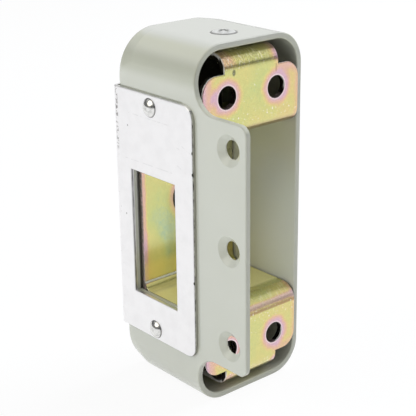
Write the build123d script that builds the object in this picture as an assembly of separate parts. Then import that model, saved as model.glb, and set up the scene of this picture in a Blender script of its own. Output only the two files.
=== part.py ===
from build123d import *
import math
import os

# Frame: origin at the centre of the box's flat bottom, +X towards the open end, -Y out of the
# bolt-side face, +Z up. All sizes are millimetres.

# Housing: a sheet-steel box, closed at the back and open at +X
box_depth = 35.5
box_width = 41.5
box_height = 110.0
wall = 1.8
corner_radius = 10.0
back_corner_radius = 13.9
corner_growth_length = 7.3
back_edge_radius = 2.0
housing_edge_chamfer = 0.25

# Flange: continues the bolt-side face past the open end
flange_reach = 21.0
flange_end_margin = 17.8
flange_corner_radius = 3.0
flange_hole_diameter = 5.5
flange_hole_inset = 7.0
flange_hole_end_margin = 7.9
flange_hole_count = 3
countersink_diameter = 9.2
countersink_depth = 1.5

# Bolt window through the wear plate and the bolt-side face
window_back_margin = 6.8
window_width = 20.5
window_bottom_margin = 29.5
window_top_margin = 40.8
window_clearance = 0.2

# Wear plate: a thin angle over the bolt-side face, with a lip on the back
plate_thickness = 1.0
plate_end_margin = 16.3
plate_corner_radius = 4.0
plate_bend_inside_radius = 0.4
plate_edge_chamfer = 0.15
plate_lip_length = 9.0
plate_lip_corner_radius = 1.5

# Rivets of the wear plate
rivet_shank_diameter = 3.2
rivet_hole_clearance = 0.1
rivet_head_diameter = 5.8
rivet_head_height = 1.4
rivet_tail_diameter = 4.8
rivet_tail_height = 1.2
rivet_end_margin = 3.5
rivet_back_margin = 16.6
rivet_drop = 0.25

# Bracket: one strip folded to a hat section with two feet and two end tabs
strip_thickness = 2.0
bend_inside_radius = 3.0
bracket_side_gap = 0.45
bracket_edge_chamfer = 0.2
web_back_gap = 3.7
web_hole_diameter = 13.0
web_hole_rise = 1.0
foot_proud = 1.0
foot_length = 23.3
shelf_rise = 0.5
foot_hole_diameter = 6.8
foot_hole_spacing_y = 19.0
foot_hole_end_margin = 12.3
ear_setback = 5.6
ear_corner_radius = 5.0
tab_width = 20.8
tab_end_margin = 5.5

# Screws through the box ends into the tabs, and the pressed seats under their heads
screw_inset = 12.0
screw_diameter = 4.0
screw_length = 9.0
screw_head_diameter = 7.9
screw_dome_height = 0.7
screw_hole_clearance = 0.3
screw_thread_clearance = 0.05
screw_seat_clearance = 0.1
recess_span = 4.0
recess_width = 0.9
recess_depth = 1.6
dimple_depth = 1.4
dimple_foot_margin = 1.55

# Places and sizes that follow from the values above
back_x = -box_depth / 2
rim_x = box_depth / 2
front_y = -box_width / 2
mid_z = box_height / 2
flange_end_x = rim_x + flange_reach
flange_height = box_height - 2 * flange_end_margin
flange_fillet_radius = flange_end_margin - corner_radius
plate_height = box_height - 2 * plate_end_margin
rivet_x = back_x + rivet_back_margin
rivet_half = plate_height / 2 - rivet_end_margin
bracket_width = box_width - 2 * (wall + bracket_side_gap)
web_face_x = back_x + wall + web_back_gap + strip_thickness
foot_face_x = rim_x + foot_proud
tab_face_half = mid_z - wall - dimple_depth
tab_length = screw_inset + tab_end_margin
screw_x = foot_face_x - screw_inset
screw_hole_diameter = screw_diameter + screw_hole_clearance
tolerance = 0.01


def facing_x(x):
    """Sketch plane at x, seen from +X: sketch x is +Y and sketch y is +Z from mid height."""
    return Plane(origin=(x, 0, mid_z), x_dir=(0, 1, 0), z_dir=(1, 0, 0))


def facing_y(y):
    """Sketch plane at y that looks along +Y: sketch x is +X and sketch y is -Z from mid height."""
    return Plane(origin=(0, y, mid_z), x_dir=(1, 0, 0), z_dir=(0, 1, 0))


def end_plane(side):
    """Sketch plane on the outer end of the box, at the screw, looking outwards."""
    return Plane(origin=(screw_x, 0, mid_z + side * mid_z), x_dir=(1, 0, 0), z_dir=(0, 0, side))


def rod(plane, diameter, start, length):
    """Round bar on a plane's axis that begins at start and runs along the plane's normal."""
    standing = (Align.CENTER, Align.CENTER, Align.MIN)
    return plane * Pos(0, 0, start) * Cylinder(diameter / 2, length, align=standing)


def taper(plane, start_diameter, end_diameter, start, length):
    """Cone frustum on a plane's axis that begins at start and runs along the plane's normal."""
    standing = (Align.CENTER, Align.CENTER, Align.MIN)
    return plane * Pos(0, 0, start) * Cone(start_diameter / 2, end_diameter / 2, length, align=standing)


def dome(plane, diameter, height):
    """Spherical cap that stands on a plane."""
    ball_radius = (diameter**2 / 4 + height**2) / (2 * height)
    ball = plane * Pos(0, 0, height - ball_radius) * Sphere(ball_radius)
    return ball & rod(plane, 2 * diameter, 0, height)


def sharp_edges(body, thickness):
    """Edges of a sheet's outline where two faces meet at an angle, without its holes and thickness lines."""
    faces = [(face, face.edges()) for face in body.faces()]
    sharp = []
    for edge in body.edges().filter_by(lambda e: e.length > thickness + tolerance and not e.is_closed):
        point = edge.position_at(0.5)
        normals = [face.normal_at(point) for face, edges in faces if edge in edges]
        if len(normals) == 2 and normals[0].get_angle(normals[1]) > 1:
            sharp.append(edge)
    return sharp


def window_cut(clearance):
    """Block that cuts the bolt window, larger by a clearance all round."""
    width = window_width + 2 * clearance
    height = box_height - window_bottom_margin - window_top_margin + 2 * clearance
    depth = 4 * (wall + plate_thickness)
    centre_x = back_x + window_back_margin + window_width / 2
    centre_z = mid_z + (window_bottom_margin - window_top_margin) / 2
    return Pos(centre_x, front_y, centre_z) * Box(width, depth, height)


def box_section(x, inset):
    """Outline of the box at x, drawn in by an inset; its corners grow rounder towards the back."""
    near_back = max(0, 1 - (x - back_x) / corner_growth_length)
    radius = corner_radius + (back_corner_radius - corner_radius) * near_back
    outline = RectangleRounded(box_width - 2 * inset, box_height - 2 * inset, radius - inset)
    return facing_x(x) * outline


def box_block(start_x, inset):
    """Solid block inside the box's outline, from start_x near the back to the mouth."""
    growth_x = back_x + corner_growth_length
    straight = extrude(box_section(growth_x, inset), rim_x - growth_x)
    return straight + loft([box_section(start_x, inset), box_section(growth_x, inset)], ruled=True)


def back_rounding():
    """Cap between the box's sides and its back, in narrow bands that follow a quarter circle."""
    sections = []
    for angle in (0, 22.5, 45, 67.5, 90):
        run = back_edge_radius * (1 - math.sin(math.radians(angle)))
        rise = back_edge_radius * (1 - math.cos(math.radians(angle)))
        sections.append(box_section(back_x + run, rise))
    return loft(sections, ruled=True)


def box_shell():
    """Open box with round corners, made as a cup whose mouth faces +X."""
    outer = box_block(back_x + back_edge_radius, 0) + back_rounding()
    return outer - box_block(back_x + wall, wall)


def flange_outline():
    """Outline of the flange, with concave fillets that end where the box's corners begin."""
    reach = flange_reach + wall
    sheet = Pos(flange_end_x - reach / 2, 0) * Rectangle(reach, flange_height)
    sheet = fillet(sheet.vertices().group_by(Axis.X)[-1], flange_corner_radius)
    for side in (1, -1):
        edge_y = side * flange_height / 2
        inner = Pos(rim_x + flange_fillet_radius / 2, edge_y + side * flange_fillet_radius / 2)
        gusset = inner * Rectangle(flange_fillet_radius, flange_fillet_radius)
        centre = Pos(rim_x + flange_fillet_radius, edge_y + side * flange_fillet_radius)
        sheet += gusset - centre * Circle(flange_fillet_radius)
    return sheet


def flange_holes():
    """Countersunk screw holes of the flange, in a line along Z, entered from the bolt side."""
    pitch = (flange_height - 2 * flange_hole_end_margin) / (flange_hole_count - 1)
    row = facing_y(front_y) * Pos(flange_end_x - flange_hole_inset, 0)
    holes = []
    for place in GridLocations(1, pitch, 1, flange_hole_count):
        plane = row * place
        holes.append(rod(plane, flange_hole_diameter, -wall, 3 * wall))
        holes.append(taper(plane, countersink_diameter, flange_hole_diameter, 0, countersink_depth))
    return holes


def screw_dimple(side):
    """Pressed seat under a screw head: the wall is pushed inwards until it meets the tab."""
    foot = screw_hole_diameter + 2 * dimple_foot_margin
    return taper(end_plane(side), foot, foot + 2 * dimple_depth, -wall - dimple_depth, dimple_depth)


def screw_hole(side):
    """Countersunk hole through the wall and the dimple, with room for the shank and the head."""
    plane = end_plane(side)
    mouth = screw_head_diameter + 2 * screw_seat_clearance
    depth = (mouth - screw_hole_diameter) / 2
    hole = rod(plane, screw_hole_diameter, -wall - 2 * dimple_depth, 2 * (wall + dimple_depth))
    return hole + taper(plane, screw_hole_diameter, mouth, -depth, depth)


def rivet_plane(side):
    """Sketch plane on the wear plate's face at a rivet, looking outwards."""
    origin = (rivet_x, front_y - plate_thickness, mid_z - rivet_drop + side * rivet_half)
    return Plane(origin=origin, x_dir=(1, 0, 0), z_dir=(0, -1, 0))


def rivet_hole(side):
    """Hole for a rivet's shank through the wear plate and the wall."""
    depth = 2 * (plate_thickness + wall)
    return rod(rivet_plane(side), rivet_shank_diameter + rivet_hole_clearance, -depth, 2 * depth)


def mouth_edges(body):
    """Sharp edges of the box's mouth and of the flange."""
    return [edge for edge in sharp_edges(body, wall) if edge.bounding_box().min.X > rim_x - tolerance]


def housing():
    """Painted box with its flange, window, screw seats and holes."""
    body = box_shell() + extrude(facing_y(front_y) * flange_outline(), wall)
    for side in (1, -1):
        body += screw_dimple(side)
    body -= window_cut(window_clearance)
    for hole in flange_holes():
        body -= hole
    for side in (1, -1):
        body -= screw_hole(side)
        body -= rivet_hole(side)
    return chamfer(mouth_edges(body), housing_edge_chamfer)


def plate_section():
    """Section of the wear plate: a flat face bent through a right angle into its lip."""
    half = plate_thickness / 2
    bend = (back_x - half, front_y - half)
    points = [(rim_x, bend[1]), bend, (bend[0], front_y + plate_lip_length)]
    return trace(FilletPolyline(*points, radius=plate_bend_inside_radius + half), plate_thickness)


def wear_plate():
    """Thin angle with the bolt window, bent round the box's back edge."""
    angle = extrude(Plane.XY.offset(plate_end_margin) * plate_section(), plate_height)
    angle = fillet(angle.edges().filter_by(Axis.Y).group_by(Axis.X)[-1], plate_corner_radius)
    angle = fillet(angle.edges().filter_by(Axis.X).group_by(Axis.Y)[-1], plate_lip_corner_radius)
    angle -= window_cut(0)
    for side in (1, -1):
        angle -= rivet_hole(side)
    low_x = back_x - plate_thickness + tolerance
    low_y = front_y - plate_thickness + tolerance
    outer = [e for e in sharp_edges(angle, plate_thickness) if e.center().X < low_x or e.center().Y < low_y]
    return chamfer(outer, plate_edge_chamfer)


def rivet(side):
    """Domed rivet: a spherical cap outside, a shank, and a flat tail inside the box."""
    plane = rivet_plane(side)
    grip = plate_thickness + wall
    shank = rod(plane, rivet_shank_diameter, -grip, grip)
    tail = rod(plane, rivet_tail_diameter, -grip - rivet_tail_height, rivet_tail_height)
    return dome(plane, rivet_head_diameter, rivet_head_height) + shank + tail


def strip_line():
    """Middle line of the folded strip, from the top tab's end to the bottom tab's end."""
    half = strip_thickness / 2
    foot_x = foot_face_x - half
    web_x = web_face_x - half
    tab_z = tab_face_half - half
    shelf_z = tab_face_half - foot_length - half
    tab_x = foot_face_x - tab_length
    high_z = shelf_rise + shelf_z
    low_z = shelf_rise - shelf_z
    points = [(tab_x, tab_z), (foot_x, tab_z), (foot_x, high_z), (web_x, high_z)]
    points += [(web_x, low_z), (foot_x, low_z), (foot_x, -tab_z), (tab_x, -tab_z)]
    return FilletPolyline(*points, radius=bend_inside_radius + half)


def folded_strip():
    """The strip at its full width, before its ends are cut to shape."""
    plane = Plane(origin=(0, bracket_width / 2, mid_z), x_dir=(1, 0, 0), z_dir=(0, -1, 0))
    return extrude(plane * trace(strip_line(), strip_thickness), bracket_width)


def ear_cut(side, hand):
    """Block that trims the strip beside a tab and leaves the ear's round corner standing."""
    end_z = tab_face_half - ear_setback
    notch = (bracket_width - tab_width) / 2
    reach = ear_setback + wall
    blank = Pos(hand * (tab_width / 2 + notch), side * (end_z + reach / 2)) * Rectangle(2 * notch, reach)
    outer = hand * bracket_width / 2
    inset = ear_corner_radius / 2
    spandrel = Pos(outer - hand * inset, side * (end_z - inset)) * Rectangle(2 * inset, 2 * inset)
    spandrel -= Pos(outer - 2 * hand * inset, side * (end_z - 2 * inset)) * Circle(ear_corner_radius)
    depth = tab_length + 2 * strip_thickness
    return extrude(facing_x(foot_face_x - depth) * (blank + spandrel), depth + strip_thickness)


def foot_holes():
    """The four fixing holes of the feet."""
    spacing_z = 2 * (tab_face_half - foot_hole_end_margin)
    places = GridLocations(foot_hole_spacing_y, spacing_z, 2, 2)
    start = -2 * strip_thickness
    length = 3 * strip_thickness
    return [rod(facing_x(foot_face_x) * place, foot_hole_diameter, start, length) for place in places]


def bracket():
    """Folded bracket with ears, tabs, fixing holes, web hole and screw holes."""
    body = folded_strip()
    for side in (1, -1):
        for hand in (1, -1):
            body -= ear_cut(side, hand)
        body -= rod(end_plane(side), screw_diameter, -wall - screw_length, screw_length)
    for hole in foot_holes():
        body -= hole
    web_plane = facing_x(web_face_x) * Pos(0, web_hole_rise)
    body -= rod(web_plane, web_hole_diameter, -2 * strip_thickness, 3 * strip_thickness)
    return chamfer(sharp_edges(body, strip_thickness), bracket_edge_chamfer)


def cross_recess(plane, top):
    """Cross-shaped driver pocket that opens at the height top above the plane."""
    slot = Rectangle(recess_span, recess_width) + Rectangle(recess_width, recess_span)
    return extrude(plane * Pos(0, 0, top - recess_depth) * slot, 2 * recess_depth)


def screw(side, dome_height):
    """Countersunk cross-recess screw, flush where its dome height is nothing."""
    plane = end_plane(side)
    shank_diameter = screw_diameter - 2 * screw_thread_clearance
    cone_depth = (screw_head_diameter - shank_diameter) / 2
    body = taper(plane, shank_diameter, screw_head_diameter, -cone_depth, cone_depth)
    body += rod(plane, shank_diameter, -screw_length, screw_length - cone_depth)
    if dome_height > 0:
        body += dome(plane, screw_head_diameter, dome_height)
    return body - cross_recess(plane, dome_height)


nodes = {
    "housing": housing(),
    "bracket": bracket(),
    "wear_plate": wear_plate(),
    "top_rivet": rivet(1),
    "bottom_rivet": rivet(-1),
    "top_screw": screw(1, screw_dome_height),
    "bottom_screw": screw(-1, 0),
}

os.makedirs("parts", exist_ok=True)
for name, shape in nodes.items():
    export_step(shape, f"parts/{name}.step")
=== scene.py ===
"""Looks of a door strike box: painted housing, gold zinc bracket, bright wear plate, rivets and screws.

Sizes are in millimetres of the part's frame unless a docstring says metres.
"""
import logging
import math
from dataclasses import dataclass, field
from enum import Enum
from functools import partial, reduce

import bpy
from mathutils import Matrix, Vector


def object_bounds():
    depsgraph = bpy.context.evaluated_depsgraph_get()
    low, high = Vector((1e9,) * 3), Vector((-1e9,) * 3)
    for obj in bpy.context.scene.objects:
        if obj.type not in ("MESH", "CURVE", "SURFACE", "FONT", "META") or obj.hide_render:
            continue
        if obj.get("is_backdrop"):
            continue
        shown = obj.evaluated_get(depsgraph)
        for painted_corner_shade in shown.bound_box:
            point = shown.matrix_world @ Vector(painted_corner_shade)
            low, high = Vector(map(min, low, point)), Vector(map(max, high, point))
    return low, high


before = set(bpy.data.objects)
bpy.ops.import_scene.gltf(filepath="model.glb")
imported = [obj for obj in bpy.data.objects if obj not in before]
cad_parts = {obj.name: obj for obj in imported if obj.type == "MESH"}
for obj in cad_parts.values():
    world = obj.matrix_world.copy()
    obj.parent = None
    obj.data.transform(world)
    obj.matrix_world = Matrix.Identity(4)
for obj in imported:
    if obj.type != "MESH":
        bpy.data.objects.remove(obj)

LOG = logging.getLogger("strike_box")

Pair = tuple[float, float]
Triple = tuple[float, float, float]
Colour = Triple
Socket = bpy.types.NodeSocket
Value = float | bpy.types.NodeSocket

MM_PER_M = 1000.0
FULL_BYTE = 255
SRGB_LIMIT = 0.04045
SRGB_SLOPE = 12.92
SRGB_OFFSET = 0.055
SRGB_POWER = 2.4


def paint_tone(colour: Colour) -> tuple[float, float, float, float]:
    """Turn a colour as seen on a screen into linear light.

    Args:
        colour: Red, green and blue from 0 to 255.

    Returns:
        Linear red, green and blue with a full alpha.
    """
    linear = []
    for part in colour:
        share = part / FULL_BYTE
        if share <= SRGB_LIMIT:
            linear.append(share / SRGB_SLOPE)
        else:
            linear.append(((share + SRGB_OFFSET) / (1 + SRGB_OFFSET)) ** SRGB_POWER)
    return (linear[0], linear[1], linear[2], 1.0)


class Axis(Enum):
    """What a limit is measured along; HEIGHT runs both ways from the bracket's middle."""

    X = "x"
    Y = "y"
    Z = "z"
    HEIGHT = "height"


@dataclass(frozen=True)
class Ramp:
    """A smooth change of a mask from 0 at start to 1 at end; start may lie above end."""

    start: float
    end: float


@dataclass(frozen=True)
class Strip:
    """A strip of values round a centre, whose sides fade over a soft width."""

    centre: float
    half: float
    soft: float


@dataclass(frozen=True)
class Oval:
    """An ellipse on a face: its middle, its half widths, and its fading rim as a share of them."""

    centre: Pair
    size: Pair
    soft: float


@dataclass(frozen=True)
class Cloud:
    """A noise pattern: clouds per millimetre, finer layers, their weight, a stretch and a move."""

    scale: float
    detail: float = 2.0
    weight: float = 0.5
    stretch: Triple = (1.0, 1.0, 1.0)
    shift: Triple = (0.0, 0.0, 0.0)


@dataclass(frozen=True)
class Tint:
    """A colour and how much of it shows where its mask is full."""

    tone: Colour
    share: float = 1.0


Limits = tuple[tuple[Axis, Ramp | Strip], ...]


@dataclass(frozen=True)
class Layer:
    """A tint and the limits that it keeps to."""

    tint: Tint
    limits: Limits


class NodeTree:
    """A node tree, with short calls for the nodes that the finishes and the studio share."""

    def __init__(self, owner: bpy.types.Material | bpy.types.World) -> None:
        """Take over the tree of a material or a world and empty it.

        Args:
            owner: The material or the world.
        """
        owner.use_nodes = True
        self.tree = owner.node_tree
        self.tree.nodes.clear()

    def node(self, kind: str) -> bpy.types.Node:
        """Add a node of the named kind and return it."""
        return self.tree.nodes.new(kind)

    def link(self, source: Socket, target: Socket) -> None:
        """Join an output to an input."""
        self.tree.links.new(source, target)

    def feed(self, target: Socket, value: Value) -> None:
        """Give an input its value.

        Args:
            target: The input.
            value: A number or the output of another node.
        """
        if isinstance(value, bpy.types.NodeSocket):
            self.link(value, target)
        else:
            target.default_value = value

    def calc(self, operation: str, first: Value, second: Value = 0.0, third: Value = 0.0) -> Socket:
        """Do one sum on numbers.

        Args:
            operation: The name that the math node gives the sum.
            first: The first number.
            second: The second number, where the sum has one.
            third: The third number, where the sum has one.

        Returns:
            The result.
        """
        made = self.node("ShaderNodeMath")
        made.operation = operation
        for target, value in zip(made.inputs, (first, second, third)):
            self.feed(target, value)
        return made.outputs[0]

    def size(self, value: Value) -> Socket:
        """Drop a number's sign."""
        return self.calc("ABSOLUTE", value)

    def scaled(self, value: Value, factor: Value) -> Socket:
        """Multiply a number by a factor."""
        return self.calc("MULTIPLY", value, factor)

    def blend(self, share: Value, low: Value, high: Value) -> Socket:
        """Go from a low number to a high one by a share from 0 to 1."""
        return self.calc("MULTIPLY_ADD", share, self.calc("SUBTRACT", high, low), low)

    def split(self, vector: Socket) -> tuple[Socket, Socket, Socket]:
        """Split a vector into its three parts.

        Args:
            vector: The vector.

        Returns:
            Its X, Y and Z.
        """
        parts = self.node("ShaderNodeSeparateXYZ")
        self.link(vector, parts.inputs[0])
        return parts.outputs[0], parts.outputs[1], parts.outputs[2]

    def rise(self, value: Socket, ramp: Ramp) -> Socket:
        """Mask where a number has risen past a ramp, or sunk past it if the ramp runs down.

        Args:
            value: The number that is measured.
            ramp: Where the mask is 0 and where it is 1.

        Returns:
            The mask.
        """
        made = self.node("ShaderNodeMapRange")
        made.interpolation_type = "SMOOTHSTEP"
        self.link(value, made.inputs["Value"])
        limits = (*sorted((ramp.start, ramp.end)), float(ramp.start > ramp.end), float(ramp.start < ramp.end))
        for name, limit in zip(("From Min", "From Max", "To Min", "To Max"), limits):
            made.inputs[name].default_value = limit
        return made.outputs["Result"]

    def band(self, value: Socket, strip: Strip) -> Socket:
        """Mask a strip of values."""
        away = self.size(self.calc("SUBTRACT", value, strip.centre))
        return self.rise(away, Ramp(strip.half + strip.soft, strip.half))

    def length(self, across: Socket, up: Socket) -> Socket:
        """Measure the length of a flat vector from its two parts."""
        squares = self.total(self.scaled(across, across), self.scaled(up, up))
        return self.calc("SQRT", squares)

    def distance(self, first: Socket, second: Socket, centre: Pair) -> Socket:
        """Measure how far a point of a face is from a centre."""
        return self.length(self.calc("SUBTRACT", first, centre[0]), self.calc("SUBTRACT", second, centre[1]))

    def spot(self, first: Socket, second: Socket, oval: Oval) -> Socket:
        """Mask an ellipse on a face.

        Args:
            first: The coordinate across the face.
            second: The coordinate up the face.
            oval: The ellipse.

        Returns:
            The mask.
        """
        across = self.calc("DIVIDE", self.calc("SUBTRACT", first, oval.centre[0]), oval.size[0])
        up = self.calc("DIVIDE", self.calc("SUBTRACT", second, oval.centre[1]), oval.size[1])
        return self.rise(self.length(across, up), Ramp(1.0 + oval.soft, 1.0))

    def total(self, *values: Value) -> Socket:
        """Add up several numbers."""
        return reduce(partial(self.calc, "ADD"), values)

    def product(self, *values: Value) -> Socket:
        """Multiply several numbers."""
        return reduce(self.scaled, values)

    def greater(self, *masks: Socket) -> Socket:
        """Join several masks into one."""
        return reduce(partial(self.calc, "MAXIMUM"), masks)


class Graph(NodeTree):
    """The node tree of one finish, which knows where on the part each point lies."""

    bevel_samples = 6

    def __init__(self, name: str) -> None:
        """Start a material with only its shader and output.

        Args:
            name: The material's name.
        """
        self.material = bpy.data.materials.new(name)
        super().__init__(self.material)
        self.shader = self.node("ShaderNodeBsdfPrincipled")
        output = self.node("ShaderNodeOutputMaterial")
        self.link(self.shader.outputs["BSDF"], output.inputs["Surface"])
        place = self.node("ShaderNodeTexCoord")
        grown = self.node("ShaderNodeVectorMath")
        grown.operation = "SCALE"
        grown.inputs["Scale"].default_value = MM_PER_M
        self.link(place.outputs["Object"], grown.inputs[0])
        self.point = grown.outputs[0]
        self.x, self.y, self.z = self.split(self.point)
        self.measures = {Axis.X: self.x, Axis.Y: self.y, Axis.Z: self.z}

    def within(self, limits: Limits) -> Socket:
        """Mask the points that keep to every limit.

        Args:
            limits: Axes, each with a ramp or a strip along it.

        Returns:
            The mask.
        """
        masks = []
        for axis, limit in limits:
            shape = self.band if isinstance(limit, Strip) else self.rise
            masks.append(shape(self.measures[axis], limit))
        return self.product(*masks)

    def noise(self, cloud: Cloud) -> Socket:
        """Sample a noise pattern over the part.

        Args:
            cloud: The pattern.

        Returns:
            The noise, from 0 to 1 with a mean of a half.
        """
        place = self.point
        for operation, amounts in (("ADD", cloud.shift), ("MULTIPLY", cloud.stretch)):
            made = self.node("ShaderNodeVectorMath")
            made.operation = operation
            self.link(place, made.inputs[0])
            made.inputs[1].default_value = amounts
            place = made.outputs[0]
        made = self.node("ShaderNodeTexNoise")
        self.link(place, made.inputs["Vector"])
        made.inputs["Scale"].default_value = cloud.scale
        made.inputs["Detail"].default_value = cloud.detail
        made.inputs["Roughness"].default_value = cloud.weight
        return made.outputs["Fac"]

    def swing(self, cloud: Cloud, size: float) -> Socket:
        """Sample a noise that swings half its size to each side of 0."""
        return self.calc("MULTIPLY_ADD", self.noise(cloud), size, -size / 2)

    def patches(self, cloud: Cloud, ramp: Ramp) -> Socket:
        """Mask the parts of a noise pattern that pass a ramp."""
        return self.rise(self.noise(cloud), ramp)

    def over(self, share: Value, under: Colour | Socket, above: Colour | Socket) -> Socket:
        """Lay one colour over another.

        Args:
            share: How much of the upper colour shows.
            under: The lower colour.
            above: The upper colour.

        Returns:
            The combined colour.
        """
        made = self.node("ShaderNodeMix")
        made.data_type = "RGBA"
        self.feed(made.inputs[0], share)
        for target, colour in ((made.inputs[6], under), (made.inputs[7], above)):
            if isinstance(colour, bpy.types.NodeSocket):
                self.link(colour, target)
            else:
                target.default_value = paint_tone(colour)
        return made.outputs[2]

    def tint(self, colour: Colour | Socket, mask: Socket, tint: Tint) -> Socket:
        """Lay a tint over a colour where a mask is full."""
        share = mask if tint.share == 1.0 else self.scaled(mask, tint.share)
        return self.over(share, colour, tint.tone)

    def coat(self, colour: Socket, *layers: Layer) -> Socket:
        """Lay layers over a colour, one after another.

        Args:
            colour: The colour so far.
            layers: The layers in order.

        Returns:
            The combined colour.
        """
        for layer in layers:
            colour = self.tint(colour, self.within(layer.limits), layer.tint)
        return colour

    def ramp(self, value: Socket, stops: tuple[tuple[float, Colour], ...]) -> Socket:
        """Turn a number into a colour.

        Args:
            value: A number from 0 to 1.
            stops: The colours and the numbers that they stand at, in order.

        Returns:
            The colour.
        """
        made = self.node("ShaderNodeValToRGB")
        points = made.color_ramp.elements
        for place, _ in stops[len(points):]:
            points.new(place)
        for point, (place, colour) in zip(points, stops):
            point.position = place
            point.color = paint_tone(colour)
        self.link(value, made.inputs[0])
        return made.outputs["Color"]

    def lighten(self, colour: Socket, factor: Socket) -> Socket:
        """Make a colour lighter or darker by a factor that varies over the part.

        Args:
            colour: The colour so far.
            factor: The factor.

        Returns:
            The changed colour.
        """
        made = self.node("ShaderNodeHueSaturation")
        self.link(colour, made.inputs["Color"])
        self.link(factor, made.inputs["Value"])
        return made.outputs["Color"]

    def satin(self, cloud: Cloud, smoothest: float, spread: float) -> None:
        """Give the shader a roughness that a noise pattern raises from its smoothest by its spread."""
        rough = self.calc("MULTIPLY_ADD", self.noise(cloud), spread, smoothest)
        self.link(rough, self.shader.inputs["Roughness"])

    def relief(self, height: Socket, depth: float, edge_radius: float) -> None:
        """Give the shader a bump over softly rounded edges.

        Args:
            height: The height, from 0 to 1.
            depth: How many millimetres a height of 1 stands for.
            edge_radius: The rounding of the edges.
        """
        soft = self.node("ShaderNodeBevel")
        soft.samples = self.bevel_samples
        soft.inputs["Radius"].default_value = edge_radius / MM_PER_M
        bump = self.node("ShaderNodeBump")
        bump.inputs["Strength"].default_value = 1.0
        bump.inputs["Distance"].default_value = depth / MM_PER_M
        self.link(height, bump.inputs["Height"])
        self.link(soft.outputs["Normal"], bump.inputs["Normal"])
        self.link(bump.outputs["Normal"], self.shader.inputs["Normal"])

    def facing(self) -> tuple[Socket, Socket, Socket]:
        """Split the direction that the surface faces in the part's frame."""
        return self.split(self.node("ShaderNodeNewGeometry").outputs["True Normal"])


@dataclass(frozen=True)
class PaintFinish:
    """Satin sprayed paint, pale greenish grey, with a fine orange peel, painted light on the top and the upper
    corner, and painted shade along the wear plate, the open end and the window's inner lip.
    """

    base: Colour = (202, 203, 188)
    deep: Colour = (198, 199, 182)
    clouds: Cloud = Cloud(0.06, 3.0)

    # Painted light: the upper corner and the top are painted lighter, and a painted olive shade lies along the
    # upper front corner, for how the lamps fall on the rounded top.
    painted_shoulder_light: Layer = Layer(Tint((210, 211, 191)), ((Axis.Z, Ramp(103.5, 107.5)),))
    painted_top_light: Layer = Layer(Tint((211, 212, 203)), ((Axis.Z, Ramp(108.2, 109.95)),))
    painted_brow_shade: Layer = Layer(
        Tint((180, 181, 160), 0.85), ((Axis.Z, Strip(102.2, 1.4, 3.4)), (Axis.Y, Ramp(-12.0, -17.0)))
    )

    # Painted contact shade: a dark olive line along the wear plate's top edge and beside its free edge.
    painted_contact_shade: Tint = Tint((104, 106, 84))
    contact_shade_front: Ramp = Ramp(-18.5, -19.0)
    shade_over_plate: Limits = ((Axis.Z, Strip(93.9, 0.12, 0.25)), (Axis.X, Ramp(13.5, 12.0)))
    shade_over_plate_share: float = 0.55
    shade_beside_plate: Limits = ((Axis.X, Strip(18.2, 0.4, 0.7)), (Axis.Z, Strip(55.0, 33.0, 4.0)))
    shade_beside_plate_share: float = 0.22

    # Painted shade: faces towards the open end are darker, and the window's inner lip is painted near black for
    # the shaded gap beside the web.
    towards_mouth: Ramp = Ramp(0.8, 0.95)
    rim: Tint = Tint((180, 181, 170), 0.65)
    painted_lip_shade: Tint = Tint((62, 59, 52))
    lip_shade_depth: Ramp = Ramp(-19.75, -19.45)
    lip_shade_side: Ramp = Ramp(-9.0, -10.0)

    flecks: Tint = Tint((208, 210, 199), 0.15)
    fleck_cloud: Cloud = Cloud(2.6, 2.0)
    fleck_rise: Ramp = Ramp(0.62, 0.78)

    sheen_cloud: Cloud = Cloud(0.12, 1.0)
    smoothest: float = 0.18
    sheen_spread: float = 0.04
    refraction: float = 1.5
    peel: Cloud = Cloud(0.7, 0.0)
    peel_depth: float = 0.0004
    edge_radius: float = 0.3

    def edges(self, graph: Graph, colour: Socket) -> Socket:
        """Paint the contact shade round the wear plate, shade on faces towards the open end, and shade in the
        window's inner lip.

        Args:
            graph: The finish under way.
            colour: The colour so far.

        Returns:
            The colour with its edges.
        """
        # Painted contact shade round the wear plate.
        shade_over_plate = graph.scaled(graph.within(self.shade_over_plate), self.shade_over_plate_share)
        shade_beside_plate = graph.scaled(graph.within(self.shade_beside_plate), self.shade_beside_plate_share)
        painted_contact_shade = graph.scaled(graph.greater(shade_over_plate, shade_beside_plate), graph.rise(graph.y, self.contact_shade_front))
        colour = graph.tint(colour, painted_contact_shade, self.painted_contact_shade)
        # Painted shade on faces towards the open end.
        mouth = graph.rise(graph.facing()[0], self.towards_mouth)
        colour = graph.tint(colour, mouth, self.rim)
        # Painted shade in the window's inner lip, for the dark gap beside the web.
        painted_lip_shade = graph.product(
            mouth,
            graph.rise(graph.y, self.lip_shade_depth),
            graph.rise(graph.x, self.lip_shade_side),
        )
        return graph.tint(colour, painted_lip_shade, self.painted_lip_shade)

    def material(self) -> bpy.types.Material:
        """Build the painted finish of the housing.

        Returns:
            The material.
        """
        graph = Graph("housing_paint")
        colour = graph.over(graph.noise(self.clouds), self.base, self.deep)
        # Painted light on the top and the upper corner, then painted shade along the corner.
        colour = self.edges(graph, graph.coat(colour, self.painted_shoulder_light, self.painted_top_light, self.painted_brow_shade))
        colour = graph.tint(colour, graph.patches(self.fleck_cloud, self.fleck_rise), self.flecks)
        graph.link(colour, graph.shader.inputs["Base Color"])
        graph.satin(self.sheen_cloud, self.smoothest, self.sheen_spread)
        graph.shader.inputs["IOR"].default_value = self.refraction
        graph.relief(graph.noise(self.peel), self.peel_depth, self.edge_radius)
        return graph.material


FEET = Ramp(13.0, 14.0)
WEB_FRONT = Ramp(-9.65, -10.15)
INNER_CORNER = Ramp(-6.6, -7.6)


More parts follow.
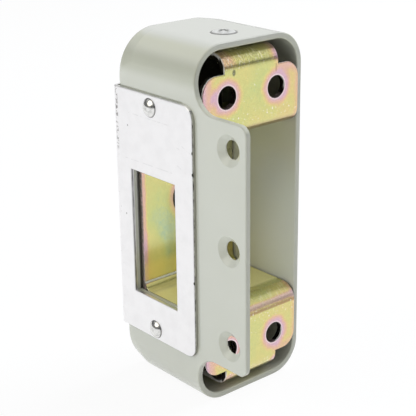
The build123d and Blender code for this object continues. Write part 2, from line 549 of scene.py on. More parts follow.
@dataclass
class BracketPlaces:
    """Masks and measures of the folded strip that its film, its marks and its edges share."""

    graph: Graph
    mid_height: float = 55.0
    foot_hole: Pair = (9.5, 39.5)
    height: Socket = field(init=False)
    outer: Socket = field(init=False)
    web: Socket = field(init=False)
    from_hole: Socket = field(init=False)

    def __post_init__(self) -> None:
        """Measure the height from the middle and mask the feet and the web's front."""
        graph = self.graph
        self.height = graph.size(graph.calc("SUBTRACT", graph.z, self.mid_height))
        graph.measures[Axis.HEIGHT] = self.height
        self.outer = graph.rise(graph.x, FEET)
        self.web = graph.rise(graph.x, WEB_FRONT)
        self.from_hole = graph.distance(graph.size(graph.y), self.height, self.foot_hole)


@dataclass(frozen=True)
class FilmMap:
    """Where the zinc's film is thicker, which turns it pink, or thinner, which turns it green."""

    rest: float = 0.30
    ripple: Cloud = Cloud(0.30, 2.0, shift=(9.0, 3.0, 21.0))
    ripple_size: float = 3.0

    ring: Ramp = Ramp(6.8, 3.6)
    ring_ripple: float = 0.6
    ring_shift: float = 0.64
    left_ear: Ramp = Ramp(-12.6, -16.4)
    left_ear_shift: float = 0.46
    upper_ear: Ramp = Ramp(42.6, 45.6)
    upper_ear_side: Ramp = Ramp(8.0, 11.0)
    upper_ear_shift: float = 0.28
    sides: Ramp = Ramp(16.1, 18.2)
    sides_shift: float = 0.22
    right: Ramp = Ramp(6.0, 15.0)
    right_shift: float = 0.15
    tab: Ramp = Ramp(46.9, 48.4)
    tab_left: Ramp = Ramp(-4.6, -8.4)
    tab_right: Ramp = Ramp(6.6, 9.6)
    tab_shift: float = 0.38
    low_bend: Strip = Strip(26.2, 0.5, 0.8)
    low_bend_shift: float = 0.36

    web_edge: Ramp = Ramp(-16.3, -17.7)
    web_edge_ripple: float = 0.3
    web_edge_shift: float = 0.50
    web_hole: Pair = (0.0, 56.0)
    web_ring: Ramp = Ramp(9.2, 7.0)
    web_ring_shift: float = 0.44
    green: Oval = Oval((-11.0, 42.5), (2.4, 6.0), 3.0)
    green_shift: float = -0.24
    orange: Oval = Oval((-15.5, 37.0), (3.2, 7.0), 1.2)
    orange_shift: float = 0.30

    broad_clouds: Cloud = Cloud(0.10, 2.0)
    broad_swing: float = 0.50
    fine_clouds: Cloud = Cloud(1.5, 3.0)
    fine_swing: float = 0.22
    calming: float = -0.5

    def on_feet(self, places: BracketPlaces, ripple: Socket, ring: Socket, left_ear: Socket) -> Socket:
        """Work out the film's shift on the feet and tabs.

        Args:
            places: The strip's masks.
            ripple: The waver of the film's borders.
            ring: A mask round the fixing holes.
            left_ear: A mask of the ears on the left.

        Returns:
            The shift.
        """
        graph = places.graph
        upper_ear = graph.product(
            graph.rise(graph.calc("ADD", places.height, ripple), self.upper_ear),
            graph.rise(graph.y, self.upper_ear_side),
        )
        sides = graph.rise(graph.size(graph.y), self.sides)
        tab_ends = graph.greater(
            graph.rise(graph.calc("ADD", graph.y, ripple), self.tab_left),
            graph.rise(graph.y, self.tab_right),
        )
        return graph.total(
            graph.scaled(ring, self.ring_shift),
            graph.scaled(left_ear, self.left_ear_shift),
            graph.scaled(upper_ear, self.upper_ear_shift),
            graph.scaled(sides, self.sides_shift),
            graph.scaled(graph.rise(graph.y, self.right), self.right_shift),
            graph.product(graph.rise(places.height, self.tab), tab_ends, self.tab_shift),
            graph.scaled(graph.band(graph.z, self.low_bend), self.low_bend_shift),
        )

    def on_web(self, graph: Graph, ripple: Socket) -> Socket:
        """Work out the film's shift on the web.

        Args:
            graph: The finish under way.
            ripple: The waver of the film's borders.

        Returns:
            The shift.
        """
        wavering = graph.calc("MULTIPLY_ADD", ripple, self.web_edge_ripple, graph.y)
        web_ring = graph.rise(graph.distance(graph.y, graph.z, self.web_hole), self.web_ring)
        return graph.total(
            graph.scaled(graph.rise(wavering, self.web_edge), self.web_edge_shift),
            graph.scaled(web_ring, self.web_ring_shift),
            graph.scaled(graph.spot(graph.y, graph.z, self.green), self.green_shift),
            graph.scaled(graph.spot(graph.y, graph.z, self.orange), self.orange_shift),
        )

    def place(self, places: BracketPlaces) -> Socket:
        """Work out the place of each point in the film's colours.

        Args:
            places: The strip's masks.

        Returns:
            The place, from 0 to 1.
        """
        graph = places.graph
        ripple = graph.swing(self.ripple, self.ripple_size)
        ring = graph.rise(graph.calc("MULTIPLY_ADD", ripple, self.ring_ripple, places.from_hole), self.ring)
        left_ear = graph.rise(graph.calc("ADD", graph.y, ripple), self.left_ear)
        clouds = graph.total(
            graph.swing(self.broad_clouds, self.broad_swing),
            graph.swing(self.fine_clouds, self.fine_swing),
        )
        calm = graph.calc("MULTIPLY_ADD", graph.greater(ring, left_ear), self.calming, 1.0)
        return graph.total(
            self.rest,
            graph.scaled(clouds, calm),
            graph.scaled(self.on_feet(places, ripple, ring, left_ear), places.outer),
            graph.scaled(self.on_web(graph, ripple), places.web),
        )


@dataclass(frozen=True)
class CutEdges:
    """The strip's sheared edges: darker sheared steel with painted shade, and painted highlights along the
    outer lips of the ears and the tabs.
    """

    towards_side: Ramp = Ramp(0.6, 0.8)
    off_face: Ramp = Ramp(0.5, 0.3)

    ear_front: Ramp = Ramp(16.5, 16.7)
    ear_height: Ramp = Ramp(38.0, 39.0)
    ear_beside_tab: Ramp = Ramp(10.3, 10.4)
    # The ears' cut faces: darker steel with painted shade, and a painted highlight along their outer lip.
    ear_dark: Colour = (58, 53, 48)
    ear_highlight: Colour = (255, 253, 250)
    lip_cloud: Cloud = Cloud(0.9, 2.0)
    lip_waver: float = 0.7
    lip_rise: Ramp = Ramp(18.45, 18.65)

    bend_centre: Pair = (13.75, 46.8)
    # Painted highlight along the outer lip of the tab bends' cut faces.
    tab_lip_highlight: Tint = Tint((255, 252, 252))
    tab_highlight_reach: Ramp = Ramp(3.9, 4.4)
    tab_highlight_height: Ramp = Ramp(46.0, 47.5)

    # The cut faces: darker sheared steel with painted shade, and pink specks.
    side_dark: Colour = (58, 50, 48)
    side_light: Colour = (92, 80, 76)
    side_cloud: Cloud = Cloud(1.4, 3.0)
    specks: Tint = Tint((206, 168, 172))
    speck_cloud: Cloud = Cloud(1.3, 3.0, shift=(0.0, 5.0, 0.0))
    speck_rise: Ramp = Ramp(0.50, 0.62)
    speck_strip: Strip = Strip(-10.25, 0.5, 0.5)
    # Painted light: the web's cut face, which lies in shade beside the window, is painted a lighter grey.
    web_side: Ramp = Ramp(-9.4, -10.2)
    web_side_painted_light: Colour = (150, 144, 132)
    web_side_specks: Colour = (206, 176, 176)

    def lay(self, colour: Socket, places: BracketPlaces) -> tuple[Socket, Socket]:
        """Lay the sheared edges over the film.

        Args:
            colour: The colour so far.
            places: The strip's masks.

        Returns:
            The colour with its edges, and a mask of the painted edge light, where the metal barely mirrors.
        """
        graph = places.graph
        outward, sideways, _ = graph.facing()
        side = graph.rise(graph.size(sideways), self.towards_side)
        ear = graph.product(
            graph.rise(graph.size(outward), self.off_face),
            graph.rise(graph.x, self.ear_front),
            graph.rise(places.height, self.ear_height),
            graph.rise(graph.size(graph.y), self.ear_beside_tab),
        )
        # Painted highlight along the ears' outer lip.
        wavering = graph.calc("MULTIPLY_ADD", graph.noise(self.lip_cloud), self.lip_waver, graph.x)
        lip_highlight = graph.rise(wavering, self.lip_rise)
        ear_tone = graph.over(lip_highlight, self.ear_dark, self.ear_highlight)
        # Painted highlight along the tab bends' outer lip.
        tab_lip_highlight = graph.scaled(
            graph.rise(graph.distance(graph.x, places.height, self.bend_centre), self.tab_highlight_reach),
            graph.rise(places.height, self.tab_highlight_height),
        )
        specks = graph.scaled(
            graph.patches(self.speck_cloud, self.speck_rise),
            graph.band(graph.x, self.speck_strip),
        )
        # Painted shade on the cut faces.
        side_tone = graph.over(graph.noise(self.side_cloud), self.side_dark, self.side_light)
        side_tone = graph.tint(side_tone, specks, self.specks)
        side_tone = graph.tint(side_tone, tab_lip_highlight, self.tab_lip_highlight)
        colour = graph.over(side, colour, side_tone)
        # Painted light on the web's cut face.
        web_side = graph.product(side, graph.rise(graph.x, self.web_side))
        colour = graph.over(web_side, colour, graph.over(specks, self.web_side_painted_light, self.web_side_specks))
        painted_edge_light = graph.greater(graph.product(ear, lip_highlight), graph.product(side, tab_lip_highlight), web_side)
        return graph.over(ear, colour, ear_tone), painted_edge_light


@dataclass(frozen=True)
class FootMarks:
    """A painted highlight on the fixing holes' rolled edges, a punch mark, a shear line and pale chips on the
    feet.
    """

    # Painted highlight on the fixing holes' rolled edges.
    rim: Tint = Tint((250, 238, 236), 0.6)
    rim_strip: Strip = Strip(3.55, 0.10, 0.22)
    punch: Tint = Tint((92, 96, 70), 0.8)
    punch_oval: Oval = Oval((-6.9, 101.2), (0.42, 0.6), 0.9)
    shear: Layer = Layer(
        Tint((110, 86, 70), 0.7),
        ((Axis.Y, Strip(9.4, 0.05, 0.16)), (Axis.Z, Strip(100.2, 0.9, 0.5)), (Axis.X, FEET)),
    )

    chip: Tint = Tint((255, 252, 244), 0.85)
    chip_cloud: Cloud = Cloud(1.5, 2.0, shift=(0.0, 11.0, 4.0))
    chip_rise: Ramp = Ramp(0.64, 0.68)
    upper_chips: Strip = Strip(87.2, 1.2, 0.8)
    lower_chips: Strip = Strip(23.2, 1.3, 0.8)
    tab_chips: Strip = Strip(47.6, 0.25, 0.5)
    ear_chip_cloud: Cloud = Cloud(1.9, 1.0, shift=(0.0, 2.0, 8.0))
    ear_chip_rise: Ramp = Ramp(0.73, 0.77)
    ear_chip_share: float = 0.7

    def lay(self, colour: Socket, places: BracketPlaces) -> Socket:
        """Lay the marks over the film.

        Args:
            colour: The colour so far.
            places: The strip's masks.

        Returns:
            The colour with its marks.
        """
        graph = places.graph
        # Painted highlight round the fixing holes.
        rim = graph.scaled(graph.band(places.from_hole, self.rim_strip), places.outer)
        colour = graph.tint(colour, rim, self.rim)
        punch = graph.scaled(graph.spot(graph.y, graph.z, self.punch_oval), places.outer)
        colour = graph.coat(graph.tint(colour, punch, self.punch), self.shear)
        by_bend = graph.greater(
            graph.band(graph.z, self.upper_chips),
            graph.band(graph.z, self.lower_chips),
            graph.band(places.height, self.tab_chips),
        )
        bend_chips = graph.product(by_bend, graph.patches(self.chip_cloud, self.chip_rise))
        ear_chips = graph.product(graph.patches(self.ear_chip_cloud, self.ear_chip_rise), self.ear_chip_share)
        chips = graph.product(graph.greater(bend_chips, ear_chips), places.outer)
        return graph.tint(colour, chips, self.chip)


@dataclass(frozen=True)
class ZincFinish:
    """Gold passivated zinc, whose thin film shifts from pale green through gold to pink and lilac."""

    film: tuple[tuple[float, Colour], ...] = (
        (0.0, (182, 203, 164)),
        (0.18, (208, 212, 138)),
        (0.36, (222, 213, 136)),
        (0.54, (230, 205, 140)),
        (0.70, (230, 190, 156)),
        (0.86, (229, 186, 176)),
        (1.0, (220, 181, 196)),
    )
    film_map: FilmMap = FilmMap()
    cut_edges: CutEdges = CutEdges()
    foot_marks: FootMarks = FootMarks()

    low_bend: Limits = ((Axis.Z, Ramp(24.4, 25.2)), (Axis.Z, Ramp(32.0, 31.0)), (Axis.X, FEET))
    low_bend_wear: float = 0.45
    tab_bend: Ramp = Ramp(47.4, 48.4)

    # Painted shade: a brown band where the lower bend meets its foot and below the upper shelf's bend, for the
    # dark reflection where each bend starts.
    painted_bend_shade: Tint = Tint((148, 104, 76), 0.7)
    bend_shade_strip: Strip = Strip(24.6, 0.25, 0.55)
    shade_under_shelf: Limits = ((Axis.Z, Ramp(85.4, 83.4)), (Axis.Z, Ramp(78.0, 79.0)), (Axis.X, FEET))
    # Painted highlight: a pinkish white band along the lower bend.
    painted_bend_highlight: Layer = Layer(Tint((255, 226, 214), 0.6), ((Axis.Z, Strip(26.2, 0.3, 0.6)), (Axis.X, FEET)))
    # Painted shade on the web's far side, seen through the flange holes.
    shaded_far_side: Layer = Layer(Tint((184, 181, 158), 0.8), ((Axis.X, WEB_FRONT), (Axis.Y, Ramp(9.0, 15.0))))
    # Painted light: the shelf seen through the window is lit up pale yellow.
    painted_shelf_light: Layer = Layer(
        Tint((255, 248, 178), 0.9), ((Axis.Z, Strip(29.0, 0.4, 0.6)), (Axis.X, Ramp(12.0, 10.0)))
    )
    # Painted shade in the inner bend's corner, under the glint.
    painted_corner_shade: Layer = Layer(Tint((176, 162, 84), 0.35), ((Axis.Z, Strip(30.3, 0.3, 0.5)), (Axis.X, INNER_CORNER)))
    # Painted shade on the web towards its far edge.
    shaded_far_web: Layer = Layer(
        Tint((150, 150, 92), 0.3),
        ((Axis.X, WEB_FRONT), (Axis.Y, Ramp(-10.6, -7.4)), (Axis.Z, Strip(46.0, 10.0, 6.0))),
    )
    # Painted light on the web's low part.
    painted_low_web_light: Layer = Layer(Tint((255, 232, 140), 0.45), ((Axis.X, WEB_FRONT), (Axis.Z, Strip(34.0, 1.5, 3.5))))
    # Painted highlight: a glint along the start of the inner bend.
    glint: Layer = Layer(
        Tint((252, 255, 244), 0.95),
        ((Axis.Z, Strip(31.25, 0.2, 0.25)), (Axis.X, INNER_CORNER), (Axis.Y, Ramp(3.0, 0.0))),
    )
    # Painted shade on the upper half of the tab bends.
    shaded_tab_top: Layer = Layer(Tint((126, 116, 72), 0.4), ((Axis.HEIGHT, Ramp(49.3, 51.4)), (Axis.X, FEET)))

    grain: Cloud = Cloud(2.8, 3.0, 0.65)
    grain_share: float = 0.42
    grain_on_bends: float = 1.3
    streak: Tint = Tint((255, 250, 214))
    streak_cloud: Cloud = Cloud(2.0, 2.0, stretch=(0.22, 1.0, 0.22), shift=(0.0, 31.0, 0.0))
    streak_rise: Ramp = Ramp(0.56, 0.68)
    streak_share: float = 0.75

    metal: float = 0.85
    dulled_metal_loss: float = -0.65
    shelf_dulling: float = 0.9
    coat: float = 0.6
    coat_roughness: float = 0.12
    smoothest: float = 0.12
    sheen_cloud: Cloud = Cloud(0.5, 4.0)
    sheen_spread: float = 0.16
    sheen_on_bend: float = 0.12
    relief_share: float = 0.35
    relief_on_bends: float = 1.6
    streak_relief: float = 0.5
    relief_depth: float = 0.02
    edge_radius: float = 0.25

    def material(self) -> bpy.types.Material:
        """Build the zinc finish of the bracket.

        Returns:
            The material.
        """
        graph = Graph("bracket_zinc")
        places = BracketPlaces(graph)
        colour = graph.ramp(self.film_map.place(places), self.film)
        low_bend = graph.within(self.low_bend)
        tab_bend = graph.rise(places.height, self.tab_bend)
        bend = graph.greater(tab_bend, graph.scaled(low_bend, self.low_bend_wear))
        # Painted shade at the starts of the bends.
        bend_shaded = graph.greater(graph.band(graph.z, self.bend_shade_strip), graph.within(self.shade_under_shelf))
        colour = graph.tint(colour, graph.scaled(bend_shaded, places.outer), self.painted_bend_shade)
        # Painted highlight on the lower bend, then painted shade and light inside the box and on the tab bends.
        colour = graph.coat(colour, self.painted_bend_highlight, self.shaded_far_side, self.painted_shelf_light, self.painted_corner_shade)
        colour = graph.coat(colour, self.shaded_far_web, self.painted_low_web_light, self.glint, self.shaded_tab_top)
        grain = graph.noise(self.grain)
        spread = graph.calc("MULTIPLY_ADD", bend, self.grain_on_bends, self.grain_share)
        uneven = graph.calc("MULTIPLY_ADD", graph.calc("SUBTRACT", grain, 0.5), spread, 1.0)
        colour = graph.lighten(colour, uneven)
        streak = graph.patches(self.streak_cloud, self.streak_rise)
        colour = graph.tint(colour, graph.product(streak, bend, self.streak_share), self.streak)
        colour = self.foot_marks.lay(colour, places)
        colour, painted_edge_light = self.cut_edges.lay(colour, places)
        graph.link(colour, graph.shader.inputs["Base Color"])
        # Painted light on the shelf, the glint and the edges: the metal is dulled there so that their pale
        # colour shows.
        painted_shelf_light = graph.scaled(graph.within(self.painted_shelf_light.limits), self.shelf_dulling)
        dulled = graph.greater(painted_edge_light, graph.within(self.glint.limits), painted_shelf_light)
        metal = graph.calc("MULTIPLY_ADD", dulled, self.dulled_metal_loss, self.metal)
        graph.link(metal, graph.shader.inputs["Metallic"])
        graph.shader.inputs["Coat Weight"].default_value = self.coat
        graph.shader.inputs["Coat Roughness"].default_value = self.coat_roughness
        rough = graph.total(
            self.smoothest,
            graph.scaled(graph.noise(self.sheen_cloud), self.sheen_spread),
            graph.scaled(low_bend, self.sheen_on_bend),
        )
        graph.link(rough, graph.shader.inputs["Roughness"])
        height = graph.total(
            graph.scaled(grain, graph.calc("MULTIPLY_ADD", bend, self.relief_on_bends, self.relief_share)),
            graph.product(streak, bend, self.streak_relief),
        )
        graph.relief(height, self.relief_depth, self.edge_radius)
        return graph.material


@dataclass(frozen=True)
class Scratch:
    """A straight scratch on the plate's face, from one end to the other, across and up."""

    start: Pair
    end: Pair
    half: float = 0.16
    sharpness: float = 0.4
    fading: float = 0.3

    def mask(self, graph: Graph) -> Socket:
        """Mask the scratch.

        Args:
            graph: The finish under way.

        Returns:
            The mask.
        """
        run = (self.end[0] - self.start[0], self.end[1] - self.start[1])
        length = math.hypot(*run)
        along = (run[0] / length, run[1] / length)
        across = graph.calc("SUBTRACT", graph.x, self.start[0])
        up = graph.calc("SUBTRACT", graph.z, self.start[1])
        gone = graph.calc("MULTIPLY_ADD", across, along[0], graph.scaled(up, along[1]))
        aside = graph.calc("MULTIPLY_ADD", across, -along[1], graph.scaled(up, along[0]))
        return graph.scaled(
            graph.band(gone, Strip(length / 2, length / 2, self.fading)),
            graph.band(aside, Strip(0.0, self.half * self.sharpness, self.half)),
        )


@dataclass(frozen=True)
class PlateFinish:
    """Bright satin sheet with a worn bend, handling scratches, pits and sheared edges, with painted highlight
    and shade on its edges.
    """

    bright: Colour = (246, 245, 245)
    dull: Colour = (241, 240, 240)
    clouds: Cloud = Cloud(0.22, 4.0, 0.6)
    cloud_rise: Ramp = Ramp(0.35, 0.7)

    pit: Tint = Tint((110, 106, 100), 0.6)
    pits: tuple[Pair, ...] = ((-11.95, 82.6), (-14.05, 54.2))
    pit_size: Pair = (0.18, 0.22)
    pit_soft: float = 0.9
    scratch: Tint = Tint((120, 120, 120), 0.14)
    scratches: tuple[Scratch, ...] = (
        Scratch((10.2, 80.8), (12.0, 80.5)),
        Scratch((13.3, 81.6), (16.9, 80.2)),
        Scratch((11.2, 75.4), (16.0, 73.2)),
        Scratch((-13.6, 72.3), (8.5, 72.6)),
        Scratch((-11.6, 86.6), (8.0, 86.5)),
        Scratch((-3.3, 15.9), (-1.2, 14.5)),
    )
    scratch_cloud: Cloud = Cloud(0.7, 2.0)
    scratch_gaps: Ramp = Ramp(0.38, 0.6)
    nick: Colour = (38, 37, 35)
    nick_x: float = 17.7
    nick_heights: tuple[float, ...] = (80.5, 74.2, 41.0)
    nick_size: Pair = (0.24, 0.36)
    nick_soft: float = 0.6

    wear: Tint = Tint((92, 90, 86), 0.75)
    bend: Ramp = Ramp(-16.35, -16.85)
    crest: Limits = ((Axis.X, Strip(-17.0, 0.3, 0.35)), (Axis.Z, Ramp(71.0, 79.0)))
    crest_cloud: Cloud = Cloud(1.3, 4.0, 0.65)
    crest_rise: Ramp = Ramp(0.48, 0.58)
    thin_cloud: Cloud = Cloud(1.1, 4.0, shift=(7.0, 0.0, 0.0))
    thin_rise: Ramp = Ramp(0.64, 0.70)
    thin_share: float = 0.7

    towards_mouth: Ramp = Ramp(0.6, 0.8)
    sheet_depth: Ramp = Ramp(-20.0, -20.4)
    shear_cloud: Cloud = Cloud(2.2, 3.0, stretch=(1.0, 3.0, 0.12))
    shear_rise: Ramp = Ramp(0.4, 0.62)
    shear_dark: Colour = (118, 118, 120)
    shear_light: Colour = (176, 176, 178)
    free_edge: Ramp = Ramp(16.7, 17.5)
    # Painted shade on the free edge near the face, and painted light on the rest of it.
    edge_shade_cloud: Cloud = Cloud(0.5, 3.0)
    edge_shade_waver: float = 1.1
    edge_shade_rise: Ramp = Ramp(-20.85, -21.05)
    free_edge_painted_light: Colour = (190, 190, 182)
    free_edge_painted_shade: Colour = (46, 45, 42)
    # Painted highlight along the window reveal's outer edge.
    painted_reveal_highlight: Tint = Tint((240, 240, 238), 0.8)
    reveal_highlight_strip: Strip = Strip(-20.86, 0.06, 0.12)
    reveal_highlight_side: Ramp = Ramp(0.0, -1.0)
    # Painted shade on the edges that face down.
    towards_floor: Ramp = Ramp(-0.6, -0.8)
    painted_low_edge_shade: Tint = Tint((120, 120, 118))

    metal: float = 0.9
    sheen_cloud: Cloud = Cloud(0.6, 3.0)
    smoothest: float = 0.25
    sheen_spread: float = 0.1
    pressed: Limits = ((Axis.X, Strip(-2.7, 10.6, 0.8)), (Axis.Z, Strip(79.4, 6.6, 0.8)))
    pressed_share: float = -0.5
    wave_cloud: Cloud = Cloud(0.12, 2.0)
    wave_share: float = 0.8
    grain_cloud: Cloud = Cloud(2.0, 3.0)
    grain_share: float = 0.12
    relief_depth: float = 0.012
    edge_radius: float = 0.2

    def marks(self, graph: Graph, colour: Socket) -> Socket:
        """Lay pits, nicks, scratches and the worn bend over the sheet.

        Args:
            graph: The finish under way.
            colour: The colour of the sheet.

        Returns:
            The colour with its marks.
        """
        pits = [graph.spot(graph.x, graph.z, Oval(pit, self.pit_size, self.pit_soft)) for pit in self.pits]
        colour = graph.tint(colour, graph.greater(*pits), self.pit)
        lines = graph.greater(*[scratch.mask(graph) for scratch in self.scratches])
        broken = graph.product(lines, graph.patches(self.scratch_cloud, self.scratch_gaps))
        colour = graph.tint(colour, broken, self.scratch)
        ovals = [Oval((self.nick_x, height), self.nick_size, self.nick_soft) for height in self.nick_heights]
        nicks = graph.greater(*[graph.spot(graph.x, graph.z, oval) for oval in ovals])
        colour = graph.over(nicks, colour, self.nick)
        crest = graph.scaled(graph.within(self.crest), graph.patches(self.crest_cloud, self.crest_rise))
        thin = graph.product(
            graph.rise(graph.x, self.bend),
            graph.patches(self.thin_cloud, self.thin_rise),
            self.thin_share,
        )
        return graph.tint(colour, graph.greater(crest, thin), self.wear)

    def edges(self, graph: Graph, colour: Socket) -> Socket:
        """Lay sheared grain over the cut edges in the window, painted shade and light on the free edge, a
        painted highlight on the reveal's outer edge and painted shade on edges that face down.

        Args:
            graph: The finish under way.
            colour: The colour so far.

        Returns:
            The colour with its edges.
        """
        outward, _, upward = graph.facing()
        reveal = graph.product(graph.rise(outward, self.towards_mouth), graph.rise(graph.y, self.sheet_depth))
        grey = graph.over(graph.patches(self.shear_cloud, self.shear_rise), self.shear_dark, self.shear_light)
        # Painted shade and painted light on the free edge.
        wavering = graph.calc("MULTIPLY_ADD", graph.noise(self.edge_shade_cloud), self.edge_shade_waver, graph.y)
        dark = graph.over(graph.rise(wavering, self.edge_shade_rise), self.free_edge_painted_light, self.free_edge_painted_shade)
        tone = graph.over(graph.rise(graph.x, self.free_edge), grey, dark)
        colour = graph.over(reveal, colour, tone)
        # Painted highlight along the reveal's outer edge.
        painted_reveal_highlight = graph.product(reveal, graph.band(graph.y, self.reveal_highlight_strip), graph.rise(graph.x, self.reveal_highlight_side))
        colour = graph.tint(colour, painted_reveal_highlight, self.painted_reveal_highlight)
        # Painted shade on the edges that face down.
        return graph.tint(colour, graph.rise(upward, self.towards_floor), self.painted_low_edge_shade)

    def material(self) -> bpy.types.Material:
        """Build the finish of the wear plate.

        Returns:
            The material.
        """
        graph = Graph("plate_steel")
        colour = graph.over(graph.patches(self.clouds, self.cloud_rise), self.bright, self.dull)
        colour = self.edges(graph, self.marks(graph, colour))
        graph.link(colour, graph.shader.inputs["Base Color"])
        graph.shader.inputs["Metallic"].default_value = self.metal
        graph.satin(self.sheen_cloud, self.smoothest, self.sheen_spread)
        height = graph.total(
            graph.scaled(graph.noise(self.wave_cloud), self.wave_share),
            graph.scaled(graph.noise(self.grain_cloud), self.grain_share),
            graph.scaled(graph.within(self.pressed), self.pressed_share),
        )
        graph.relief(height, self.relief_depth, self.edge_radius)
        return graph.material


@dataclass(frozen=True)
class FastenerFinish:
    """Bare bright steel of a rivet or a screw, with fine turned marks and a painted shade line where it seats.
    """

    name: str
    colour: Colour
    smoothest: float
    metal: float
    rim_axis: Axis
    rim_strip: Strip
    # Painted shade where the head meets its seat.
    rim: Tint = Tint((96, 95, 92), 0.7)
    shade: float = 0.90
    clouds: Cloud = Cloud(0.8, 3.0)
    cloud_rise: Ramp = Ramp(0.4, 0.7)
    sheen_cloud: Cloud = Cloud(2.0, 2.0)
    sheen_spread: float = 0.12
    turned: Cloud = Cloud(1.6, 2.0)
    relief_depth: float = 0.002
    edge_radius: float = 0.12

    def material(self) -> bpy.types.Material:
        """Build the finish of a fastener.

        Returns:
            The material.
        """
        graph = Graph(self.name)
        shaded = tuple(part * self.shade for part in self.colour)
        colour = graph.over(graph.patches(self.clouds, self.cloud_rise), self.colour, shaded)
        # Painted shade at the seat.
        colour = graph.tint(colour, graph.within(((self.rim_axis, self.rim_strip),)), self.rim)
        graph.link(colour, graph.shader.inputs["Base Color"])
        graph.shader.inputs["Metallic"].default_value = self.metal
        graph.satin(self.sheen_cloud, self.smoothest, self.sheen_spread)
        graph.relief(graph.noise(self.turned), self.relief_depth, self.edge_radius)
        return graph.material


@dataclass
class Housing:
    """The painted box with its screw flange."""

    paint: PaintFinish = PaintFinish()

    def dress(self) -> None:
        """Paint the box."""
        dress_node("housing", self.paint.material())


@dataclass
class Bracket:
    """The folded zinc bracket behind the opening."""

    zinc: ZincFinish = ZincFinish()

    def dress(self) -> None:
        """Plate the bracket."""
        dress_node("bracket", self.zinc.material())


@dataclass
class WearPlate:
    """The bright plate round the bolt's window."""

    steel: PlateFinish = PlateFinish()

    def dress(self) -> None:
        """Finish the plate."""
        dress_node("wear_plate", self.steel.material())


@dataclass
class Fasteners:
    """The plate's two rivets and the bracket's two screws."""

    rivet: FastenerFinish = FastenerFinish(
        "rivet_steel", (232, 232, 230), 0.12, 1.0, Axis.Y, Strip(-21.8, 0.16, 0.16)
    )
    screw: FastenerFinish = FastenerFinish(
        "screw_steel", (238, 239, 236), 0.26, 0.5, Axis.Z, Strip(110.06, 0.08, 0.08)
    )

    def dress(self) -> None:
        """Finish the rivets and the screws."""
        rivet_steel = self.rivet.material()
        for name in ("top_rivet", "bottom_rivet"):
            dress_node(name, rivet_steel)
        screw_steel = self.screw.material()
        for name in ("top_screw", "bottom_screw"):
            dress_node(name, screw_steel)


def dress_node(name: str, finish: bpy.types.Material) -> None:
    """Give every material slot of a node one finish.

    Args:
        name: The node.
        finish: Its material.
    """
    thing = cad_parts[name]
    if not thing.material_slots:
        thing.data.materials.append(finish)
    for holder in thing.material_slots:
        holder.material = finish
    LOG.info("%s wears %s", name, finish.name)


@dataclass
class PhotoCamera:
    """The camera at the photograph's viewing angle, in degrees, pixels and millimetres."""

    azimuth: float = 49.471
    elevation: float = 20.195
    roll: float = -0.697
    distance: float = 353.601
    target: Triple = (-2.653, 1.25, 53.235)
    focal_pixels: float = 1135.76
    frame_pixels: float = 416.0
    film: float = 36.0
    nearest: float = 10.0

    def place(self) -> bpy.types.Object:
        """Make the camera and set it as the scene's own.

        Returns:
            The camera.
        """
        turn = math.radians(self.azimuth)
        tip = math.radians(self.elevation)
        lean = math.radians(self.roll)
        forward = Vector((-math.sin(turn) * math.cos(tip), math.cos(turn) * math.cos(tip), -math.sin(tip)))
        right = Vector((math.cos(turn), math.sin(turn), 0.0))
        up = right.cross(forward)
        side = right * math.cos(lean) + up * math.sin(lean)
        top = up * math.cos(lean) - right * math.sin(lean)
        spot = (Vector(self.target) - forward * self.distance) / MM_PER_M
        lens = bpy.data.cameras.new("photo_camera")
        lens.sensor_width = self.film
        lens.lens = self.focal_pixels / self.frame_pixels * self.film
        lens.clip_start = self.nearest / MM_PER_M
        camera = bpy.data.objects.new("photo_camera", lens)
        bpy.context.scene.collection.objects.link(camera)
        turned = Matrix((side, top, -forward)).transposed().to_4x4()
        camera.matrix_world = Matrix.Translation(spot) @ turned
        bpy.context.scene.camera = camera
        return camera


@dataclass
class Lamp:
    """One round soft box that looks at the part; its place and width are in metres."""

    name: str
    spot: Triple
    width: float
    brightness: float
    colour: Colour = (255, 255, 255)
    mirrored: bool = True

    def watts(self) -> float:
        """Give the power at which the disc glows at its brightness."""
        return self.brightness * math.pi * (math.pi * self.width**2 / 4)

    def place(self, target: Vector) -> bpy.types.Object:
        """Hang the lamp.

        Args:
            target: The point in metres that it faces.

        Returns:
            The lamp.
        """
        light = bpy.data.lights.new(self.name, "AREA")
        light.shape = "DISK"
        light.size = self.width
        light.energy = self.watts()
        light.color = paint_tone(self.colour)[:3]
        lamp = bpy.data.objects.new(self.name, light)
        bpy.context.scene.collection.objects.link(lamp)
        lamp.location = self.spot
        lamp.visible_glossy = self.mirrored
        lamp.rotation_euler = (target - Vector(self.spot)).to_track_quat("-Z", "Y").to_euler()
        return lamp


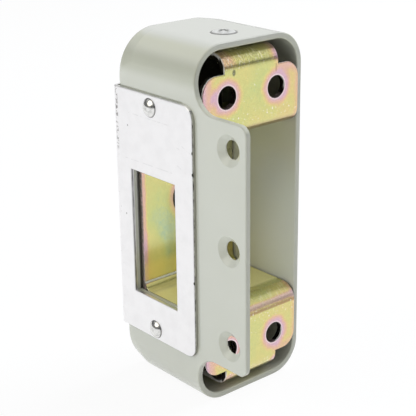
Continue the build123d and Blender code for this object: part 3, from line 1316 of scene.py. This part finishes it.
@dataclass
class Studio:
    """A white sweep under round soft boxes, in a dim room; its lengths are in metres."""

    ambient: float = 0.415
    room: float = 0.16
    ceiling: float = 0.60
    ceiling_rise: Ramp = Ramp(0.30, 0.60)
    sweep_glow: float = 0.80
    sweep_side: Pair = (0.30, 0.95)
    sweep_rise: Ramp = Ramp(-0.1, 0.2)
    horizon_right: Ramp = Ramp(0.22, 0.34)
    horizon_left: Ramp = Ramp(0.02, 0.12)
    left: Ramp = Ramp(-0.1, -0.4)
    zenith: Ramp = Ramp(0.95, 0.55)
    floor_reach: float = 4.0
    floor_drop: float = 0.0001
    floor_colour: Colour = (250, 250, 250)
    floor_glow: float = 0.92
    lamps: tuple[Lamp, ...] = (
        Lamp("front_box", (-0.17, -0.74, 0.58), 0.70, 1.9, (255, 250, 236)),
        Lamp("side_box", (-0.42, -0.83, 0.06), 0.60, 5.5, (206, 218, 255), False),
        Lamp("overhead_box", (0.05, 0.68, 0.72), 0.60, 9.0, (240, 246, 255), False),
    )

    def world(self) -> None:
        """Make the surroundings: white to the camera, and for mirrors a bright sweep in a dim room."""
        world = bpy.data.worlds.new("studio")
        bpy.context.scene.world = world
        graph = NodeTree(world)
        rays = graph.node("ShaderNodeLightPath")
        across, along, up = graph.split(graph.node("ShaderNodeTexCoord").outputs["Generated"])
        towards = graph.calc(
            "MULTIPLY_ADD", across, self.sweep_side[0], graph.scaled(along, self.sweep_side[1])
        )
        risen = graph.greater(
            graph.rise(up, self.horizon_right),
            graph.scaled(graph.rise(up, self.horizon_left), graph.rise(across, self.left)),
        )
        sweep = graph.product(graph.rise(towards, self.sweep_rise), risen, graph.rise(up, self.zenith))
        above = graph.calc(
            "MULTIPLY_ADD", graph.rise(up, self.ceiling_rise), self.ceiling - self.room, self.room
        )
        mirrored = graph.blend(sweep, above, self.sweep_glow)
        lit = graph.blend(rays.outputs["Is Glossy Ray"], self.ambient, mirrored)
        sky = graph.node("ShaderNodeBackground")
        sky.inputs["Color"].default_value = (1.0, 1.0, 1.0, 1.0)
        graph.link(graph.calc("MAXIMUM", rays.outputs["Is Camera Ray"], lit), sky.inputs["Strength"])
        output = graph.node("ShaderNodeOutputWorld")
        graph.link(sky.outputs[0], output.inputs["Surface"])

    def paper(self) -> bpy.types.Material:
        """Build the floor's paper, which glows for the camera and for mirrors but keeps the shadow.

        Returns:
            The material.
        """
        paper = bpy.data.materials.new("floor_paper")
        graph = NodeTree(paper)
        matt = graph.node("ShaderNodeBsdfDiffuse")
        matt.inputs["Color"].default_value = paint_tone(self.floor_colour)
        glow = graph.node("ShaderNodeEmission")
        rays = graph.node("ShaderNodeLightPath").outputs
        seen = graph.greater(rays["Is Camera Ray"], rays["Is Glossy Ray"], rays["Is Transmission Ray"])
        both = graph.node("ShaderNodeMixShader")
        graph.link(graph.scaled(seen, self.floor_glow), both.inputs[0])
        graph.link(matt.outputs[0], both.inputs[1])
        graph.link(glow.outputs[0], both.inputs[2])
        output = graph.node("ShaderNodeOutputMaterial")
        graph.link(both.outputs[0], output.inputs["Surface"])
        return paper

    def floor(self) -> bpy.types.Object:
        """Lay the pale floor.

        Returns:
            The floor.
        """
        mesh = bpy.data.meshes.new("floor")
        reach = self.floor_reach
        corners = [(-reach, -reach, 0.0), (reach, -reach, 0.0), (reach, reach, 0.0), (-reach, reach, 0.0)]
        mesh.from_pydata(corners, [], [(0, 1, 2, 3)])
        mesh.materials.append(self.paper())
        floor = bpy.data.objects.new("floor", mesh)
        bpy.context.scene.collection.objects.link(floor)
        floor.location.z = -self.floor_drop
        floor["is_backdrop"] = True
        return floor

    def build(self, target: Vector) -> None:
        """Set up the room, the floor and the lamps.

        Args:
            target: The point in metres that the lamps face.
        """
        self.world()
        self.floor()
        for lamp in self.lamps:
            lamp.place(target)
        LOG.info("studio has %d lamps", len(self.lamps))


def main() -> None:
    """Dress the part and set up its studio."""
    logging.basicConfig(level=logging.INFO, format="%(name)s: %(message)s")
    bpy.context.scene.view_settings.view_transform = "Standard"
    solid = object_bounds()
    PhotoCamera().place()
    Housing().dress()
    Bracket().dress()
    WearPlate().dress()
    Fasteners().dress()
    Studio().build((solid[0] + solid[1]) / 2)


if __name__ == "__main__":
    main()
